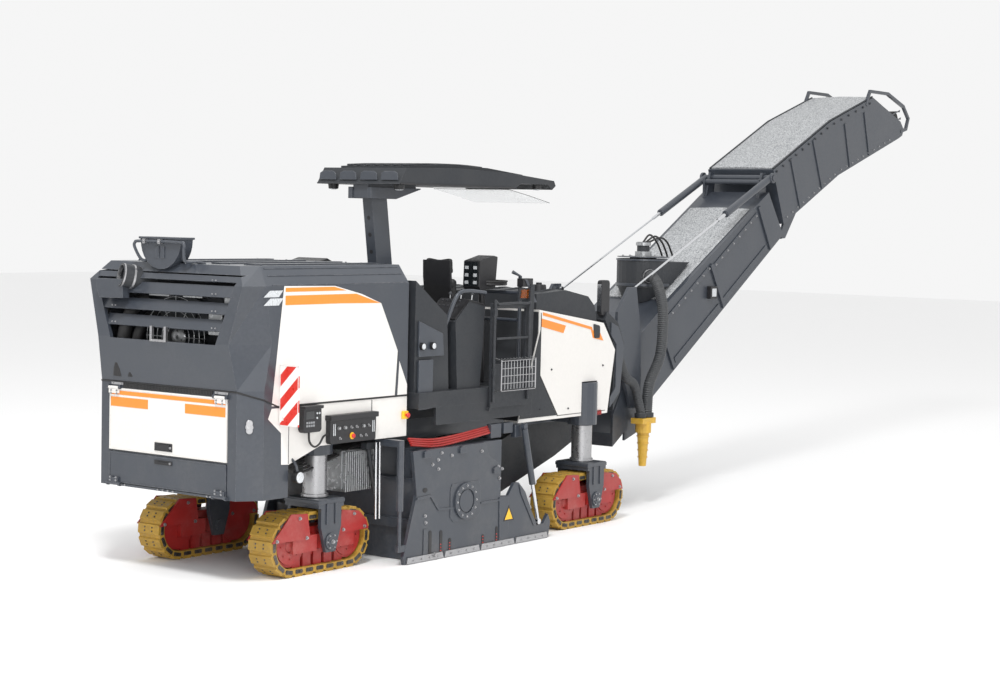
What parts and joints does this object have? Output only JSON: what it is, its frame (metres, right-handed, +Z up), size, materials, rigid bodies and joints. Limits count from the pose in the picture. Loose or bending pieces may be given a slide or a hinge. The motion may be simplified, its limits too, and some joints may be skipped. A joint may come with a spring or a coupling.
{
  "type": "cold planer milling machine",
  "caption": "Crawler cold planer with steerable tracks, milling drum between lifting side plates, canopy, opening engine hood and a slewing folding discharge conveyor.",
  "frame": {"origin": "on the ground under the middle of the overall box", "axes": "+X direction of travel, towards the discharge conveyor; +Y the machine's left; +Z up"},
  "size_m": [13.1796, 2.3, 4.7931],
  "materials": {
    "anthracite_paint": "semi-gloss anthracite paint",
    "dark_coating": "fine textured dark coating",
    "white_paint": "gloss off-white paint with orange stripes",
    "red_paint": "dusty dark red paint",
    "ochre_pads": "worn ochre polyurethane pads on steel shoes",
    "chrome": "polished rods",
    "bare_steel": "worn bare steel",
    "hose_grey": "matt corrugated hose",
    "seat_black": "black stitched cover",
    "nozzle_yellow": "yellow moulded plastic",
    "warning_panel": "reflective red and white slanted stripes"
  },
  "bodies": {
    "machine": {"main_frame": "anthracite_paint", "engine_block": "bare_steel", "rear_body": "anthracite_paint", "radiator": "dark_coating", "drum_housing": "anthracite_paint", "side_cover_right": "white_paint", "side_cover_left": "white_paint", "front_hood": "white_paint", "tank_lid": "dark_coating", "operator_platform": "dark_coating", "control_console_right": "dark_coating", "control_console_left": "dark_coating", "seat_pedestal": "dark_coating", "operator_seat": "seat_black", "front_bulkhead": "dark_coating", "pickup_conveyor": "dark_coating", "warning_panel_right": "warning_panel", "warning_panel_left": "warning_panel"},
    "rear_right_crawler": {"rear_right_track": "ochre_pads", "rear_right_track_frame": "red_paint", "rear_right_leg": "anthracite_paint"},
    "rear_left_crawler": {"rear_left_track": "ochre_pads", "rear_left_track_frame": "red_paint", "rear_left_leg": "anthracite_paint"},
    "front_right_crawler": {"front_right_track": "ochre_pads", "front_right_track_frame": "red_paint", "front_right_leg": "anthracite_paint"},
    "front_left_crawler": {"front_left_track": "ochre_pads", "front_left_track_frame": "red_paint", "front_left_leg": "anthracite_paint"},
    "hood": {"engine_hood": "anthracite_paint", "exhaust_pipe": "dark_coating"},
    "tail_door": {"tail_door": "white_paint"},
    "tail_flap": {"tail_flap": "anthracite_paint"},
    "fan": {"cooling_fan": "dark_coating"},
    "drum": {"milling_drum": "bare_steel"},
    "scraper": {"scraper_blade": "anthracite_paint"},
    "side_plate_right": {"side_plate_right": "anthracite_paint"},
    "plate_cylinder_right_barrel": {"plate_cylinder_right_barrel": "anthracite_paint"},
    "plate_cylinder_right_rod": {"plate_cylinder_right_rod": "chrome"},
    "side_plate_left": {"side_plate_left": "anthracite_paint"},
    "plate_cylinder_left_barrel": {"plate_cylinder_left_barrel": "anthracite_paint"},
    "plate_cylinder_left_rod": {"plate_cylinder_left_rod": "chrome"},
    "canopy": {"canopy_post": "anthracite_paint", "canopy_roof": "dark_coating"},
    "gate": {"side_gate": "dark_coating"},
    "slewing_foot": {"slew_foot": "anthracite_paint", "hose_y_piece": "nozzle_yellow", "suction_hose_front": "hose_grey", "suction_hose_rear": "hose_grey"},
    "boom": {"lower_boom": "anthracite_paint", "fan_drum": "dark_coating"},
    "jib": {"upper_boom": "anthracite_paint"},
    "pull_cylinders": {"pull_cylinders": "anthracite_paint"},
    "pull_ropes": {"pull_rope_right": "chrome", "pull_rope_left": "chrome"},
    "fold_barrel": {"fold_cylinder_barrel": "anthracite_paint"},
    "fold_rod": {"fold_cylinder_rod": "chrome"}
  },
  "joints": [
    {"name": "steer_rear_right", "type": "hinge", "parent": "machine", "child": "rear_right_crawler", "pos_m": [-5.3122, -0.666, 0], "axis": [0, 0, 1], "range_deg": [-12, 12]},
    {"name": "steer_rear_left", "type": "hinge", "parent": "machine", "child": "rear_left_crawler", "pos_m": [-5.3122, 0.666, 0], "axis": [0, 0, 1], "range_deg": [-12, 12]},
    {"name": "steer_front_right", "type": "hinge", "parent": "machine", "child": "front_right_crawler", "pos_m": [-1.4722, -0.82, 0], "axis": [0, 0, 1], "range_deg": [-15, 15]},
    {"name": "steer_front_left", "type": "hinge", "parent": "machine", "child": "front_left_crawler", "pos_m": [-1.4722, 0.82, 0], "axis": [0, 0, 1], "range_deg": [-15, 15]},
    {"name": "hood_hinge", "type": "hinge", "parent": "machine", "child": "hood", "pos_m": [-4.4422, 0, 2.575], "axis": [0, 1, 0], "range_deg": [0, 50]},
    {"name": "tail_door_hinge", "type": "hinge", "parent": "machine", "child": "tail_door", "pos_m": [-6.4457, 0, 1.562], "axis": [0, 1, 0], "range_deg": [0, 88]},
    {"name": "tail_flap_hinge", "type": "hinge", "parent": "machine", "child": "tail_flap", "pos_m": [-6.4457, 0, 0.739], "axis": [0, -1, 0], "range_deg": [0, 88]},
    {"name": "fan_spin", "type": "hinge", "parent": "machine", "child": "fan", "pos_m": [-6.2422, 0, 2.02], "axis": [1, 0, 0], "continuous": true},
    {"name": "drum_spin", "type": "hinge", "parent": "machine", "child": "drum", "pos_m": [-3.7422, 0, 0.489], "axis": [0, 1, 0], "continuous": true},
    {"name": "scraper_lift", "type": "slide", "parent": "machine", "child": "scraper", "axis": [0, 0, 1], "range_m": [0, 0.22]},
    {"name": "side_plate_lift_right", "type": "slide", "parent": "machine", "child": "side_plate_right", "axis": [0, 0, 1], "range_m": [0, 0.3]},
    {"name": "side_plate_lift_left", "type": "slide", "parent": "machine", "child": "side_plate_left", "axis": [0, 0, 1], "range_m": [0, 0.3]},
    {"name": "plate_cylinder_turn_right", "type": "hinge", "parent": "machine", "child": "plate_cylinder_right_barrel", "pos_m": [-2.8222, -1.079, 1.1], "axis": [0, -1, 0], "range_deg": [0, 8]},
    {"name": "plate_cylinder_stroke_right", "type": "slide", "parent": "plate_cylinder_right_barrel", "child": "plate_cylinder_right_rod", "axis": [0.2692, 0, -0.9631], "range_m": [-0.3, 0]},
    {"name": "plate_cylinder_turn_left", "type": "hinge", "parent": "machine", "child": "plate_cylinder_left_barrel", "pos_m": [-2.8222, 0.643, 1.1], "axis": [0, -1, 0], "range_deg": [0, 8]},
    {"name": "plate_cylinder_stroke_left", "type": "slide", "parent": "plate_cylinder_left_barrel", "child": "plate_cylinder_left_rod", "axis": [0.2692, 0, -0.9631], "range_m": [-0.3, 0]},
    {"name": "canopy_lift", "type": "slide", "parent": "machine", "child": "canopy", "axis": [-0.1478, 0, 0.989], "range_m": [-0.45, 0]},
    {"name": "gate_hinge", "type": "hinge", "parent": "machine", "child": "gate", "pos_m": [-3.3222, -1.038, 1.5], "axis": [0, 0, -1], "range_deg": [0, 95]},
    {"name": "conveyor_slew", "type": "hinge", "parent": "machine", "child": "slewing_foot", "pos_m": [-0.5622, 0, 1.6], "axis": [0, 0, 1], "range_deg": [-50, 50], "deforming": ["suction_hose_rear"]},
    {"name": "conveyor_lift", "type": "hinge", "parent": "slewing_foot", "child": "boom", "pos_m": [-0.0222, 0, 1.16], "axis": [0, -1, 0], "range_deg": [-18, 8], "deforming": ["suction_hose_front"]},
    {"name": "jib_fold", "type": "hinge", "parent": "boom", "child": "jib", "pos_m": [3.28778, 0, 2.92998], "axis": [0, 1, 0], "range_deg": [0, 100]},
    {"name": "pull_cylinder_turn", "type": "hinge", "parent": "boom", "child": "pull_cylinders", "pos_m": [2.90776, 0, 3.59998], "axis": [0, -1, 0], "range_deg": [-4, 4]},
    {"name": "pull_rope_stroke", "type": "slide", "parent": "pull_cylinders", "child": "pull_ropes", "axis": [-0.9171, 0, -0.3987], "range_m": [-0.2, 0.4]},
    {"name": "fold_cylinder_turn", "type": "hinge", "parent": "boom", "child": "fold_barrel", "pos_m": [1.85779, 0, 1.89998], "axis": [0, -1, 0], "range_deg": [-2, 8]},
    {"name": "fold_cylinder_stroke", "type": "slide", "parent": "fold_barrel", "child": "fold_rod", "axis": [0.8838, 0, 0.4679], "range_m": [-0.5, 0]}
  ],
  "couplings": [
    {"joint": "steer_rear_left", "follows": "steer_rear_right", "ratio": 1},
    {"joint": "steer_front_left", "follows": "steer_front_right", "ratio": 1},
    {"joint": "plate_cylinder_turn_right", "follows": "side_plate_lift_right", "rad_per_m": 0.39598},
    {"joint": "plate_cylinder_stroke_right", "follows": "side_plate_lift_right", "ratio": -0.94706},
    {"joint": "plate_cylinder_turn_left", "follows": "side_plate_lift_left", "rad_per_m": 0.39598},
    {"joint": "plate_cylinder_stroke_left", "follows": "side_plate_lift_left", "ratio": -0.94706},
    {"joint": "pull_cylinder_turn", "follows": "conveyor_lift", "ratio": 0.09009},
    {"joint": "pull_rope_stroke", "follows": "conveyor_lift", "m_per_rad": -1.0907},
    {"joint": "fold_cylinder_turn", "follows": "jib_fold", "ratio": 0.04182},
    {"joint": "fold_cylinder_stroke", "follows": "jib_fold", "m_per_rad": -0.25341}
  ]
}
